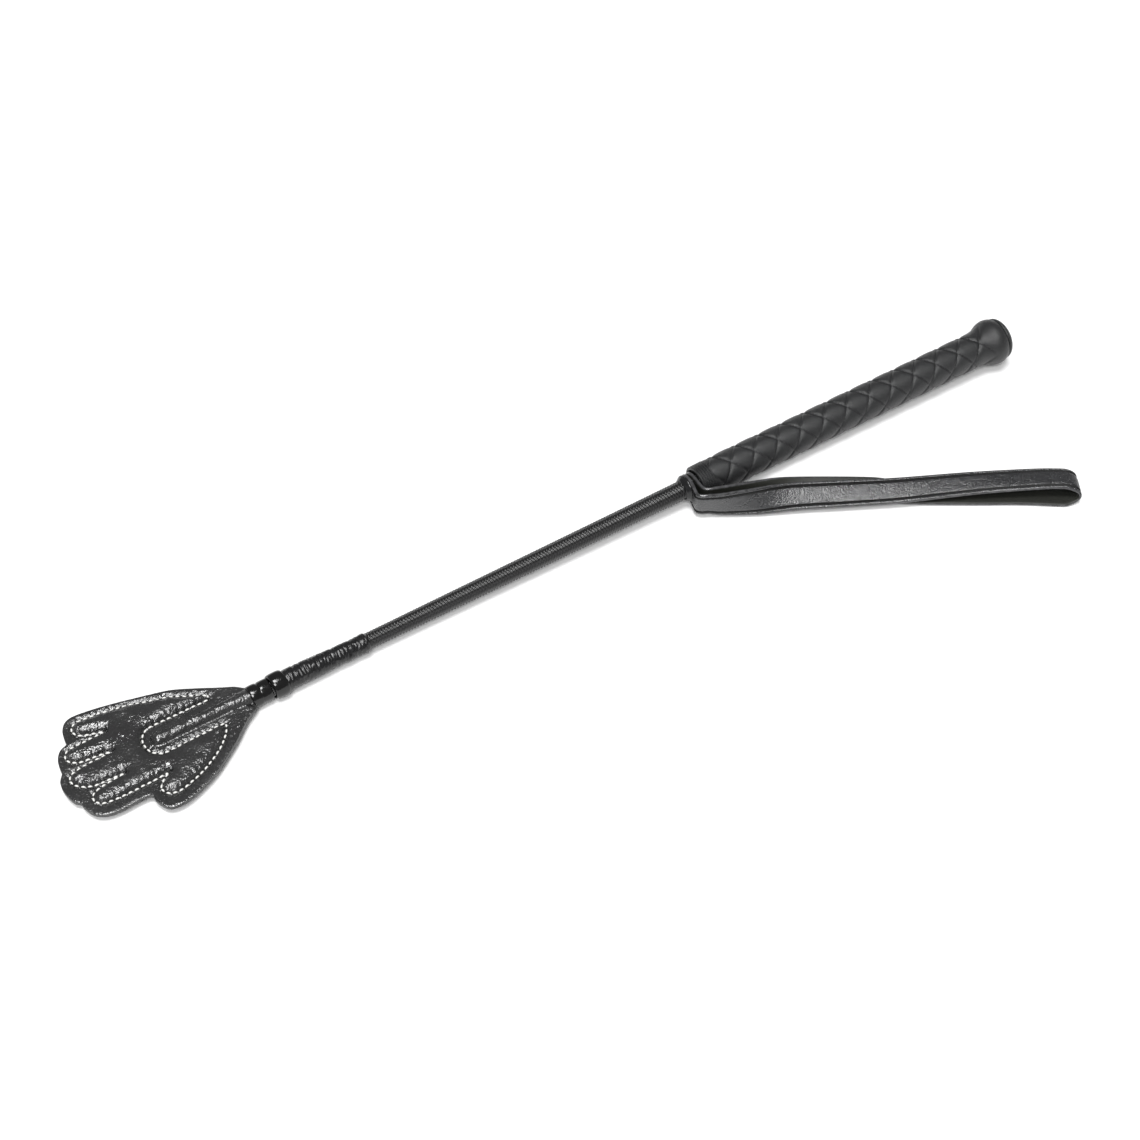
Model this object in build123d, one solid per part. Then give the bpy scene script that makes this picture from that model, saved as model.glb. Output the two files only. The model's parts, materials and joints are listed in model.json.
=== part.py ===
from build123d import *
import os
from math import asin, atan, cos, degrees, radians, sin

os.makedirs("parts", exist_ok=True)

# ------------------------------------------------------------------ driving dimensions, mm
# Pieces are drawn about the crop's own axis: X runs from the wrist of the hand-shaped
# flap (x = 0) to the butt, Y to the side away from the thumb, Z up.

# fibreglass rod, nylon braid
ROD_TIP_X = -47.0
ROD_BUTT_X = 430.0
ROD_TIP_R = 2.3
ROD_R = 4.1
CAP_BORE = 8.0           # cup over the rod's tip
CAP_WALL = 0.9
CAP_FLOOR = 2.0
BRAID_T = 0.8
BRAID_START_X = 36.0
BRAID_END_X = 265.0      # the rod's taper ends here too
SEAT = 0.02              # gap between pieces that sit tight on each other

# collar between shaft and grip
FERRULE_X = 246.0
FERRULE_END_X = 249.1
FERRULE_R = 7.4
TAB_T = 2.0
TAB_GAP = 0.2            # between the inner tab and the grip
TAB_SPREAD = 1.05        # between the two tabs
TAB_OUTER_X = FERRULE_END_X + 0.05
TAB_INNER_X = TAB_OUTER_X + TAB_T + TAB_SPREAD
TAB_END_Y = -9.4         # where a tab gives way to the free strap
TAB_HOLE_CLEARANCE = 0.06  # the tabs turn on the braid

# handle
GRIP_MOUTH_X = TAB_INNER_X + TAB_T + TAB_GAP
GRIP_R = 9.4
GRIP_LIP_R = 9.7
CORE_X = 267.0
CORE_END_X = 444.0
CORE_R = 7.6
KNOB_X = 430.0
KNOB_MAX_X = 444.0
KNOB_END_X = 449.0
KNOB_R = 12.2
CAP_R = 11.4
CAP_END_X = 455.0
TACK_R = 0.8
TACK_HEAD_R = 3.0
TACK_POINT_X = 434.0

# leather sleeve and lacing behind the wrist
SLEEVE_X = 19.0
SLEEVE_END_X = 64.0
TONGUE_END_X = 34.0
TONGUE_R = 3.9
WHIPPING_X = 20.0
WHIPPING_R = 4.3
LACE_R = 5.75            # the first turn, which the crop rests on
LACE_X = 2.8

# hand-shaped flap
LEATHER_T = 1.3
PUFF_H = 3.8             # height of a padded panel over the middle plane
FOAM_H = 2.4             # half of the foam's height
PANEL_WALL = 1.5
RIDGE_R = 4.5            # leather over the rod's end
RIDGE_END_X = -48.0
FLEX_X = -66.5           # line across the roots of the fingers where the flap bends
FLEX_GAP = 1.0           # clear on each side of that line
THREAD_W = 0.7
THREAD_H = 0.5

# wrist strap
STRAP_W = 14.5
STRAP_T = 2.0
STRAP_HINGE = (252.1, -12.0)
STRAP_ANGLE = -27.5      # degrees from X, seen from above
LOOP_STEPS = 8

# stable rest: the first lace turn and the grip's lip touch the floor
LIP_X = GRIP_MOUTH_X + 0.6
TILT = atan((GRIP_LIP_R - LACE_R) / (LIP_X - LACE_X))
WRIST_Z = LACE_R * cos(TILT) - LACE_X * sin(TILT)

# outline of the hand, x forward of the wrist is negative; each run is one smooth curve
THUMB_EDGE = [(0, -6.5), (-14.3, -17.6), (-31.9, -30.1), (-45.6, -36), (-56.4, -37.4), (-61.4, -33.7),
              (-63.4, -26.3)]
INDEX_EDGE = [(-63.4, -26.3), (-78.2, -25.7), (-88, -23.2), (-92.6, -12.9)]
MIDDLE_EDGE = [(-92.6, -12.9), (-96.7, -2.1), (-93.8, 7.1)]
RING_EDGE = [(-93.8, 7.1), (-92.4, 14.4), (-85.5, 21.1)]
LITTLE_EDGE = [(-85.5, 21.1), (-83.7, 28.9), (-75.8, 34.4), (-59.1, 31.8), (-39.4, 26.5), (-19.6, 18),
               (0, 6.5)]

# padded panel of palm and thumb, inside the seam
PALM_PANEL = [(-17.8, -8.8), (-21.2, -13.1), (-30, -20.8), (-44.7, -27.6), (-51.6, -29.1), (-56.3, -27.4),
              (-56.4, -24.7), (-53.4, -21.9), (-49, -19.4), (-49, -17.5), (-62, -18.3), (-62.5, 27.2),
              (-49.2, 24.9), (-39.3, 21.4), (-32.4, 19.2), (-24.5, 15), (-19, 10.7)]
CHANNEL = (-57.5, -15.0, -9.0, 10.4)      # x and y limits of the unpadded strip over the rod

# padded finger panels: root x, tip x, low y, high y, corner radius
FINGERS = {"index": (-69.5, -84.6, -17.9, -10.6, 3.4),
           "middle": (-69.5, -89.3, -6.0, 4.7, 4.9),
           "ring": (-69.5, -85.5, 9.8, 17.1, 3.4),
           "little": (-69.5, -77.2, 21.9, 28.7, 3.3)}

# lockstitch seam, up the thumb, round the rod's end and down the other edge
PALM_SEAM = [(-62.7, -19.6), (-50.2, -18.5), (-55.1, -21.3), (-57.8, -24.9), (-57.5, -28.3), (-51.6, -30.8),
             (-44.7, -29.2), (-36.9, -26.4), (-30, -22.7), (-24.6, -18.9), (-19.8, -14.1), (-15.9, -7.8),
             (-45.9, -7.7), (-51.8, -5.5), (-54.3, 1), (-52, 7.5), (-46.1, 9.5), (-16.1, 9.5),
             (-19.5, 13.7), (-24.5, 16.6), (-32.4, 20.8), (-39.3, 23), (-49.2, 26.4), (-63.2, 29.1)]
FINGER_SEAM = [(-68.5, -19.4), (-78.3, -19.3), (-86.1, -17.3), (-87.7, -13.9), (-84.3, -9.7), (-68.5, -8.8),
               (-68.5, -7.7), (-84.3, -7.1), (-90.7, -3.7), (-92, -0.2), (-90.3, 4.3), (-78.5, 6),
               (-68.7, 6), (-68.7, 7.3), (-82.5, 8.2), (-88.4, 12.4), (-87, 16.8), (-78.6, 18.2),
               (-68.8, 18.6), (-68.8, 20), (-75.7, 20.7), (-80.1, 25.9), (-76.8, 30.4), (-68.4, 29.7)]

# wrist strap's two runs in its own frame: along it, sideways towards the grip, height over the
# floor, lean from upright in degrees.  Both start upright at the collar and lie down further on.
OUTER_RUN = [(1.5, -3.0, 9.3, 0), (8, -3.1, 8.6, 4), (24, -2.2, 7.9, 25), (46, 0.6, 6.8, 58),
             (70, 1.3, 6.4, 67), (100, 2.2, 6.0, 74), (140, 4.0, 6.8, 86), (172, 3.4, 8.2, 92),
             (189, 2.6, 8.4, 93)]
INNER_RUN = [(2.5, 1.6, 9.4, 0), (12, 2.7, 8.8, 5), (26, 3.3, 8.1, 22), (47, 5.2, 6.3, 60),
             (68, 5.4, 5.1, 67), (90, 4.9, 4.0, 74), (104, 3.8, 2.4, 84), (139, 1.5, 1.1, 90),
             (163, 0.2, 1.0, 90), (189, -2.4, 1.0, 90)]


# ------------------------------------------------------------------ helpers
def rod_radius(x):
    """Radius of the tapered rod at a place along its axis."""
    share = min(1.0, (x - ROD_TIP_X) / (BRAID_END_X - ROD_TIP_X))
    return ROD_TIP_R + (ROD_R - ROD_TIP_R) * share


def braid_radius(x):
    """Outer radius of the braid at a place along the axis."""
    return rod_radius(x) + SEAT + BRAID_T


def turned(points):
    """Solid of revolution about X from (x, radius) corners."""
    return revolve(make_face(Polyline(*points, close=True)), axis=Axis.X)


def tapered_tube(x0, x1, inner, outer):
    """Tube about X; inner and outer give the radius at any x."""
    return turned([(x0, inner(x0)), (x1, inner(x1)), (x1, outer(x1)), (x0, outer(x0))])


def slab(face, z0, z1):
    """Straight prism of a flat outline between two heights."""
    return Pos(0, 0, z0) * extrude(face, z1 - z0)


def box_between(x0, x1, y0, y1, z0, z1):
    """Box from its limits."""
    return Pos((x0 + x1) / 2, (y0 + y1) / 2, (z0 + z1) / 2) * Box(x1 - x0, y1 - y0, z1 - z0)


def mirrored(shape):
    """The same piece on the underside of the hand."""
    return mirror(shape, about=Plane.XY)


# ------------------------------------------------------------------ shaft
def shaft_rod():
    """Solid fibreglass rod, tapered from the grip to its tip in the palm."""
    return turned([(ROD_TIP_X, 0), (ROD_TIP_X, ROD_TIP_R), (BRAID_END_X, ROD_R),
                   (ROD_BUTT_X, ROD_R), (ROD_BUTT_X, 0)])


def rod_tip_cap():
    """Plastic cup that keeps the rod's end from cutting the leather."""
    rim_x = ROD_TIP_X + CAP_BORE
    end_x = ROD_TIP_X - CAP_FLOOR
    inner = rod_radius(rim_x) + SEAT
    outer = inner + CAP_WALL
    return turned([(ROD_TIP_X - SEAT, 0), (ROD_TIP_X - SEAT, inner), (rim_x, inner), (rim_x, outer),
                   (end_x + 0.8, outer), (end_x, inner), (end_x, 0)])


def braid_cover():
    """Braided nylon cover of the shaft."""
    return tapered_tube(BRAID_START_X, BRAID_END_X, lambda x: rod_radius(x) + SEAT, braid_radius)


# ------------------------------------------------------------------ sleeve and lacing
def sleeve_whipping():
    """Thread wound over the leather tongues, under the sleeve."""
    return tapered_tube(WHIPPING_X, TONGUE_END_X, lambda x: TONGUE_R + SEAT, lambda x: WHIPPING_R)


def tip_sleeve():
    """Thin leather sleeve over the joint between flap and shaft."""
    bore = WHIPPING_R + SEAT
    return turned([(SLEEVE_X, bore), (35, bore), (38, 3.85), (SLEEVE_END_X, 3.85), (SLEEVE_END_X, 4.35),
                   (48, 4.75), (34, 5.1), (SLEEVE_X + 1.5, 5.4), (SLEEVE_X, 5.2)])


def binding_lace():
    """Three tight turns of lace round the wrist, one band with three crowns."""
    bore = TONGUE_R + SEAT
    crowns = [(0.2, LACE_R, 5.4), (5.4, 5.3, 11.2), (11.2, 5.65, SLEEVE_X - 0.1)]
    valley = 4.8
    lines = [Line((0.2, bore), (0.2, valley))]
    for x0, crown, x1 in crowns:
        lines.append(ThreePointArc((x0, valley), ((x0 + x1) / 2, crown), (x1, valley)))
    end_x = crowns[-1][2]
    lines += [Line((end_x, valley), (end_x, bore)), Line((end_x, bore), (0.2, bore))]
    return revolve(make_face(lines), axis=Axis.X)


# ------------------------------------------------------------------ collar and strap
def neck_ferrule():
    """Flared rubber ring, tight on the braid, that closes the front of the collar."""
    front_bore = braid_radius(FERRULE_X) + SEAT
    back_bore = braid_radius(FERRULE_END_X) + SEAT
    return turned([(FERRULE_X, front_bore), (FERRULE_END_X, back_bore), (FERRULE_END_X, FERRULE_R),
                   (FERRULE_END_X - 1.2, FERRULE_R), (FERRULE_X, 5.9)])


def strap_tab(x0):
    """One pierced end of the strap, threaded on the shaft."""
    plate = Circle(STRAP_W / 2) + Pos(0, TAB_END_Y / 2) * Rectangle(STRAP_W, -TAB_END_Y)
    hole_r = braid_radius(x0 + TAB_T / 2) + TAB_HOLE_CLEARANCE
    # sketch x becomes Z, sketch y stays Y, and the plate grows along +X
    across = Plane(origin=(x0, 0, 0), x_dir=(0, 0, -1), z_dir=(1, 0, 0))
    return extrude(across * (plate - Circle(hole_r)), TAB_T)


def strap_section(s, t, z, width_dir, normal_dir):
    """Rectangular section of the strap in its own frame, as a closed wire on the floor frame."""
    along = radians(STRAP_ANGLE)
    forward = Vector(cos(along), sin(along), 0)
    side = Vector(-sin(along), cos(along), 0)
    up = Vector(0, 0, 1)
    centre = Vector(STRAP_HINGE[0], STRAP_HINGE[1], 0) + forward * s + side * t + up * z
    width = side * width_dir[0] + up * width_dir[1]
    normal = forward * normal_dir[0] + side * normal_dir[1] + up * normal_dir[2]
    half_w = width * (STRAP_W / 2)
    half_t = normal * (STRAP_T / 2)
    corners = [centre + half_w + half_t, centre - half_w + half_t,
               centre - half_w - half_t, centre + half_w - half_t]
    return Wire.make_polygon(corners, close=True)


def wrist_loop():
    """Free part of the strap: the outer run, the fold at its end and the inner run back."""
    sections = []
    for s, t, z, lean in OUTER_RUN:
        a = radians(lean)
        sections.append(strap_section(s, t, z, (sin(a), cos(a)), (0, -cos(a), sin(a))))
    top, bottom = OUTER_RUN[-1], INNER_RUN[-1]
    fold_r = (top[2] - bottom[2]) / 2
    for step in range(1, LOOP_STEPS):
        share = step / LOOP_STEPS
        a = radians(90 - 180 * share)
        s = top[0] + fold_r * cos(a)
        t = top[1] + (bottom[1] - top[1]) * share
        z = bottom[2] + fold_r + fold_r * sin(a)
        sections.append(strap_section(s, t, z, (1, 0), (cos(a), 0, sin(a))))
    for s, t, z, lean in reversed(INNER_RUN):
        a = radians(lean)
        sections.append(strap_section(s, t, z, (sin(a), cos(a)), (0, cos(a), -sin(a))))
    return Solid.make_loft(sections, ruled=True)


# ------------------------------------------------------------------ handle
def grip_core():
    """Wooden core that builds the rod up to the grip's bore."""
    tack_bore = TACK_R + SEAT
    return turned([(CORE_X, ROD_R + SEAT), (ROD_BUTT_X + SEAT, ROD_R + SEAT), (ROD_BUTT_X + SEAT, 0),
                   (TACK_POINT_X - SEAT, 0), (TACK_POINT_X - SEAT, tack_bore), (CORE_END_X, tack_bore),
                   (CORE_END_X, CORE_R), (CORE_X, CORE_R)])


def grip_sleeve():
    """Moulded rubber grip, with a lip that closes on the braid at its mouth."""
    lip_end = GRIP_MOUTH_X + 3.0
    mouth_bore = braid_radius(BRAID_END_X) + SEAT
    return turned([(GRIP_MOUTH_X, mouth_bore), (CORE_X - SEAT, mouth_bore), (CORE_X - SEAT, CORE_R + SEAT),
                   (KNOB_X, CORE_R + SEAT), (KNOB_X, GRIP_R), (lip_end + 0.6, GRIP_R), (lip_end, GRIP_LIP_R),
                   (LIP_X, GRIP_LIP_R), (GRIP_MOUTH_X, GRIP_LIP_R - 0.6)])


def butt_knob():
    """Flared rubber knob that stops the hand at the butt."""
    bore = CORE_R + SEAT
    tack_bore = TACK_R + SEAT
    side = Spline((KNOB_X, GRIP_R), (436.5, 10.8), (KNOB_MAX_X, KNOB_R), (KNOB_END_X, CAP_R),
                  tangents=[(1, 0), (1, -0.35)])
    walls = Polyline((KNOB_END_X, CAP_R), (KNOB_END_X, tack_bore), (CORE_END_X + SEAT, tack_bore),
                     (CORE_END_X + SEAT, bore), (KNOB_X, bore), (KNOB_X, GRIP_R))
    return revolve(make_face([side, walls]), axis=Axis.X)


def butt_end_cap():
    """Domed disc that closes the knob over the tack's head."""
    recess_r = TACK_HEAD_R + 0.2
    recess_x = KNOB_END_X + 1.2
    edge = (KNOB_END_X + 1.5, CAP_R - 0.2)
    rise = CAP_END_X - edge[0]
    dome_r = (rise ** 2 + edge[1] ** 2) / (2 * rise)
    halfway = asin(edge[1] / dome_r) / 2
    middle = (CAP_END_X - dome_r * (1 - cos(halfway)), dome_r * sin(halfway))
    dome = ThreePointArc(edge, middle, (CAP_END_X, 0))
    walls = Polyline((CAP_END_X, 0), (recess_x, 0), (recess_x, recess_r), (KNOB_END_X, recess_r),
                     (KNOB_END_X, edge[1]), edge)
    return revolve(make_face([dome, walls]), axis=Axis.X)


def butt_tack():
    """Steel tack that pins the knob to the core."""
    head_t = 0.9
    return turned([(TACK_POINT_X, 0), (TACK_POINT_X + 2, TACK_R), (KNOB_END_X + SEAT, TACK_R),
                   (KNOB_END_X + SEAT, TACK_HEAD_R), (KNOB_END_X + SEAT + head_t, TACK_HEAD_R - 0.8),
                   (KNOB_END_X + SEAT + head_t, 0)])


# ------------------------------------------------------------------ hand-shaped flap
def hand_outline():
    """Flat outline of the whole hand."""
    edges = [Spline(*run) for run in (THUMB_EDGE, INDEX_EDGE, MIDDLE_EDGE, RING_EDGE, LITTLE_EDGE)]
    wrist = Line(LITTLE_EDGE[-1], THUMB_EDGE[0])
    return make_face(edges + [wrist])


def half_plane(x0, x1):
    """Wide rectangle used to keep one end of the hand."""
    return Pos((x0 + x1) / 2, 0) * Rectangle(abs(x1 - x0), 120)


def palm_panel():
    """Padded panel of palm and thumb, open over the rod."""
    x0, x1, y0, y1 = CHANNEL
    strip = Pos((x0 + x1) / 2, (y0 + y1) / 2) * Rectangle(x1 - x0, y1 - y0)
    return make_face(Polyline(*PALM_PANEL, close=True)) - strip


def finger_panel(root_x, tip_x, low_y, high_y, corner_r):
    """Padded panel of one finger."""
    length, width = root_x - tip_x, high_y - low_y
    return Pos((root_x + tip_x) / 2, (low_y + high_y) / 2) * RectangleRounded(length, width, corner_r)


def inset(face, distance):
    """The same flat outline, smaller all round."""
    return offset(face, -distance, kind=Kind.INTERSECTION)


def rod_space():
    """Room for the rod and its cap between the two leathers."""
    cap_rim_x = ROD_TIP_X + CAP_BORE
    cap_room_r = rod_radius(cap_rim_x) + CAP_WALL + 2 * SEAT
    tongue_bore_x = TONGUE_END_X + 1
    return turned([(ROD_TIP_X - CAP_FLOOR - SEAT, 0), (ROD_TIP_X - CAP_FLOOR - SEAT, cap_room_r),
                   (cap_rim_x + SEAT, cap_room_r), (cap_rim_x + SEAT, rod_radius(cap_rim_x) + SEAT),
                   (tongue_bore_x, rod_radius(tongue_bore_x) + SEAT), (tongue_bore_x, 0)])


def rod_cover():
    """Leather drawn over the rod's end, and the tongue that runs on from it under the lacing."""
    wrist_x = -0.5
    whole = turned([(RIDGE_END_X - 3.5, 0), (RIDGE_END_X - 3.5, 1.5), (RIDGE_END_X - 1.5, 3.8),
                    (RIDGE_END_X, RIDGE_R), (wrist_x, RIDGE_R), (wrist_x, TONGUE_R),
                    (TONGUE_END_X, TONGUE_R), (TONGUE_END_X, 0)])
    return whole & box_between(-120, 60, -60, 60, 0, 12)


def palm_leather():
    """Front leather of palm and thumb, with the tongue that is laced to the shaft."""
    plate = slab(hand_outline() & half_plane(FLEX_X + FLEX_GAP, 0), 0, LEATHER_T)
    puffed = slab(palm_panel(), 0, PUFF_H)
    foam_room = slab(inset(palm_panel(), PANEL_WALL), -1, FOAM_H)
    return plate + puffed + rod_cover() - foam_room - rod_space()


def fingers_leather():
    """Front leather of the four fingers."""
    shape = slab(hand_outline() & half_plane(-110, FLEX_X - FLEX_GAP), 0, LEATHER_T)
    for finger in FINGERS.values():
        shape += slab(finger_panel(*finger), 0, PUFF_H)
        shape -= slab(inset(finger_panel(*finger), PANEL_WALL), -1, FOAM_H)
    return shape


def padding(panel):
    """Foam that fills a panel between the leathers."""
    return slab(inset(panel, PANEL_WALL + SEAT), -FOAM_H + SEAT, FOAM_H - SEAT)


def seam(points, panels):
    """Thread of a lockstitch seam, lying on the leather beside the padded panels."""
    line = trace(Polyline(*points), THREAD_W)
    for panel in panels:
        line -= panel
    return slab(line, LEATHER_T, LEATHER_T + THREAD_H)


# ------------------------------------------------------------------ assembly
def pieces_on_axis():
    """Every piece that is drawn about the crop's axis, by node name."""
    front_palm, front_fingers = palm_leather(), fingers_leather()
    palm_thread = seam(PALM_SEAM, [palm_panel()])
    finger_thread = seam(FINGER_SEAM, [finger_panel(*finger) for finger in FINGERS.values()])
    pieces = {
        "shaft_rod": shaft_rod(), "rod_tip_cap": rod_tip_cap(), "braid_cover": braid_cover(),
        "sleeve_whipping": sleeve_whipping(), "tip_sleeve": tip_sleeve(), "binding_lace": binding_lace(),
        "neck_ferrule": neck_ferrule(), "strap_tab_outer": strap_tab(TAB_OUTER_X),
        "strap_tab_inner": strap_tab(TAB_INNER_X), "grip_core": grip_core(), "grip_sleeve": grip_sleeve(),
        "butt_knob": butt_knob(), "butt_end_cap": butt_end_cap(), "butt_tack": butt_tack(),
        "palm_front_leather": front_palm, "palm_back_leather": mirrored(front_palm),
        "fingers_front_leather": front_fingers, "fingers_back_leather": mirrored(front_fingers),
        "palm_padding": padding(palm_panel()),
        "palm_front_thread": palm_thread, "palm_back_thread": mirrored(palm_thread),
        "fingers_front_thread": finger_thread, "fingers_back_thread": mirrored(finger_thread)}
    for name, finger in FINGERS.items():
        pieces[name + "_padding"] = padding(finger_panel(*finger))
    return pieces


def rest_location():
    """Turns the axis frame so that the first lace turn and the grip's lip touch the floor."""
    return Location((0, 0, WRIST_Z), (0, -degrees(TILT), 0))


def assembly():
    """All pieces in the final frame, with the origin under the middle of the box."""
    placed = {name: rest_location() * shape for name, shape in pieces_on_axis().items()}
    placed["wrist_loop"] = wrist_loop()
    box = Compound(children=[Compound([shape]) for shape in placed.values()]).bounding_box()
    origin = Pos(-(box.min.X + box.max.X) / 2, -(box.min.Y + box.max.Y) / 2, -box.min.Z)
    return {name: origin * shape for name, shape in placed.items()}, origin


PIECES, ORIGIN = assembly()
for node, shape in PIECES.items():
    export_step(shape, f"parts/{node}.step")
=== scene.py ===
import json
from math import ceil, cos, hypot, pi, radians, sin
import bpy
import numpy as np
from mathutils import Matrix, Vector, kdtree, noise
from mathutils.geometry import delaunay_2d_cdt


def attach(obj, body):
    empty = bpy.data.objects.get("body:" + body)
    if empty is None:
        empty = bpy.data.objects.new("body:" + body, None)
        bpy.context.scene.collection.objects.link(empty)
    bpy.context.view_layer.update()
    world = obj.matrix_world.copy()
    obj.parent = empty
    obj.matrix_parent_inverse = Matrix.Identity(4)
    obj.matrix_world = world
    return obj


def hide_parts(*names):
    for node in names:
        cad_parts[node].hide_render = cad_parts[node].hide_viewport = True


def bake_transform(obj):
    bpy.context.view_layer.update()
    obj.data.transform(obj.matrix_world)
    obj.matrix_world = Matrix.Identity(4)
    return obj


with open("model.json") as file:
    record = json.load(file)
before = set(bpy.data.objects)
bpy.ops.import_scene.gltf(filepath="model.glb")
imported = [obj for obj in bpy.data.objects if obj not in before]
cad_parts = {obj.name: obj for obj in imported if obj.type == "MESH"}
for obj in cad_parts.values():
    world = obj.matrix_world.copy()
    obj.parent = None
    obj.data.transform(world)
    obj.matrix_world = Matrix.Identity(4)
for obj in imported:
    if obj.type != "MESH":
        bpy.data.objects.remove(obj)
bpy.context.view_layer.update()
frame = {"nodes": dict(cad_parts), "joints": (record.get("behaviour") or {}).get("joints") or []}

MM = 0.001

# ------------------------------------------------------------------ the crop's own frame, mm
# X runs along the crop from the wrist of the hand to the butt, Y away from the thumb, Z up.
JOINTS = {joint["name"]: joint for joint in frame["joints"]}
FLEX_X = -66.5           # the line where the flap bends, from the wrist
ALONG = Vector(JOINTS["strap_swivel"]["axis"]).normalized()
SIDE = Vector((0, 1, 0))
UP = ALONG.cross(SIDE)
WRIST = Vector(JOINTS["flap_flex"]["pos_m"]) - ALONG * FLEX_X * MM
CROP = (Matrix.Translation(WRIST) @ Matrix((ALONG, SIDE, UP)).transposed().to_4x4() @ Matrix.Scale(MM, 4))

# where the pieces begin and end along the crop
BRAID_END = 265.0
FERRULE_X, FERRULE_END = 246.0, 249.1
GRIP_X, GRIP_END = 254.4, 430.0
KNOB_END, CAP_END = 449.0, 455.0


# ------------------------------------------------------------------ small modelling helpers
def rgb(code, alpha=1.0):
    """sRGB hex code as linear colour."""
    parts = [int(code[k:k + 2], 16) / 255 for k in (1, 3, 5)]
    return tuple(p / 12.92 if p <= 0.04045 else ((p + 0.055) / 1.055) ** 2.4 for p in parts) + (alpha,)


def deselect():
    """Leaves edit mode and selects nothing."""
    if bpy.context.object and bpy.context.object.mode != "OBJECT":
        bpy.ops.object.mode_set(mode="OBJECT")
    bpy.ops.object.select_all(action="DESELECT")


def activate(obj):
    """Selects one object alone and makes it the active one."""
    deselect()
    obj.select_set(True)
    bpy.context.view_layer.objects.active = obj
    return obj


def points_of(obj):
    """Vertex positions as an array."""
    co = np.zeros(len(obj.data.vertices) * 3)
    obj.data.vertices.foreach_get("co", co)
    return co.reshape(-1, 3)


def move_points(obj, co):
    """Puts the vertices at the positions of an array."""
    obj.data.vertices.foreach_set("co", np.asarray(co, float).ravel())
    obj.data.update()


def along_profile(x, points):
    """A profile's radius at each x, on a smooth curve through its (x, radius) points."""
    fine = curve_through(points, 0.1)
    return np.interp(x, fine[:, 0], fine[:, 1])


def closed_up(obj, merge=0.001):
    """Merges the seam of a rolled grid, fills its open ends and turns all faces outwards."""
    activate(obj)
    bpy.ops.object.mode_set(mode="EDIT")
    bpy.ops.mesh.select_all(action="SELECT")
    bpy.ops.mesh.remove_doubles(threshold=merge)
    bpy.ops.mesh.select_all(action="SELECT")
    bpy.ops.mesh.fill_holes(sides=0)
    bpy.ops.mesh.select_all(action="SELECT")
    bpy.ops.mesh.normals_make_consistent(inside=False)
    bpy.ops.object.mode_set(mode="OBJECT")
    return obj


def laid_grid(name, points):
    """A grid primitive laid through points[i, j]; its UV map runs 0 to 1 both ways."""
    rows, columns = points.shape[:2]
    deselect()
    bpy.ops.mesh.primitive_grid_add(x_subdivisions=rows - 1, y_subdivisions=columns - 1, size=2)
    obj = bpy.context.object
    obj.name = obj.data.name = name
    flat = points_of(obj)
    i = np.rint((flat[:, 0] + 1) / 2 * (rows - 1)).astype(int)
    j = np.rint((flat[:, 1] + 1) / 2 * (columns - 1)).astype(int)
    move_points(obj, points[i, j])
    return obj


def rolled(name, xs, around, radius, bore=None):
    """A tube about the crop's axis; radius is a function of arrays x and angle.
    The angle starts at the thumb's side and goes up over the top.  With a bore the tube is hollow."""
    angles = np.linspace(0, 2 * pi, around + 1)
    x, angle = np.meshgrid(np.asarray(xs, float), angles, indexing="ij")
    r = radius(x, angle)
    if bore is not None:
        x = np.vstack([x[:1], x, x[-1:], x[:1]])
        r = np.vstack([np.full_like(r[:1], bore), r, np.full_like(r[:1], bore), np.full_like(r[:1], bore)])
        angle = np.vstack([angle[:1]] * len(x))
    return closed_up(laid_grid(name, np.stack([x, -r * np.cos(angle), r * np.sin(angle)], axis=2)))


def apply_modifier(obj, kind, **settings):
    """Adds a modifier with its settings and applies it."""
    activate(obj)
    modifier = obj.modifiers.new(kind.title(), kind)
    for key, value in settings.items():
        setattr(modifier, key, value)
    bpy.ops.object.modifier_apply(modifier=modifier.name)
    return obj


def smooth(obj, angle=180):
    """Smooth shading, with sharp edges kept where faces meet at more than the angle."""
    activate(obj)
    if angle < 180:
        bpy.ops.object.shade_smooth_by_angle(angle=radians(angle))
    else:
        bpy.ops.object.shade_smooth()
    return obj


def dress(obj, *materials):
    """Gives a piece its materials, in the order of its face zones."""
    obj.data.materials.clear()
    for material in materials:
        obj.data.materials.append(material)
    return obj


def finished(obj, material, slot, body, *nodes, angle=180):
    """Puts a piece drawn in the crop's frame in place, on its body, for its CAD nodes."""
    obj.data.transform(CROP)
    smooth(obj, angle)
    dress(obj, material)
    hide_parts(*nodes)
    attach(obj, body)
    return obj


def curve_through(points, step, closed=False):
    """Even points, about a step apart, on a smooth curve through the given ones."""
    p = np.asarray(points, float)
    n = len(p)
    if closed:
        p = np.vstack([p[-1:], p, p[:2]])
    else:
        p = np.vstack([2 * p[0] - p[1], p, 2 * p[-1] - p[-2]])
    fine = []
    for k in range(1, n + 1 if closed else n):
        p0, p1, p2, p3 = p[k - 1:k + 3]
        gaps = [max(np.linalg.norm(b - a), 1e-6) ** 0.5 for a, b in ((p0, p1), (p1, p2), (p2, p3))]
        tangent_1 = (p2 - p0) / (gaps[0] + gaps[1]) * gaps[1]
        tangent_2 = (p3 - p1) / (gaps[1] + gaps[2]) * gaps[1]
        t = np.linspace(0, 1, 24, endpoint=False)[:, None]
        fine.append((2 * t**3 - 3 * t**2 + 1) * p1 + (t**3 - 2 * t**2 + t) * tangent_1
                    + (3 * t**2 - 2 * t**3) * p2 + (t**3 - t**2) * tangent_2)
    fine = np.vstack(fine + [p[1:2] if closed else p[-2:-1]])
    length = np.concatenate([[0], np.cumsum(np.linalg.norm(np.diff(fine, axis=0), axis=1))])
    count = max(2, round(length[-1] / step))
    even = np.linspace(0, length[-1], count + 1)
    even = even[:-1] if closed else even
    return np.stack([np.interp(even, length, fine[:, k]) for k in range(fine.shape[1])], axis=1)


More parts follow.
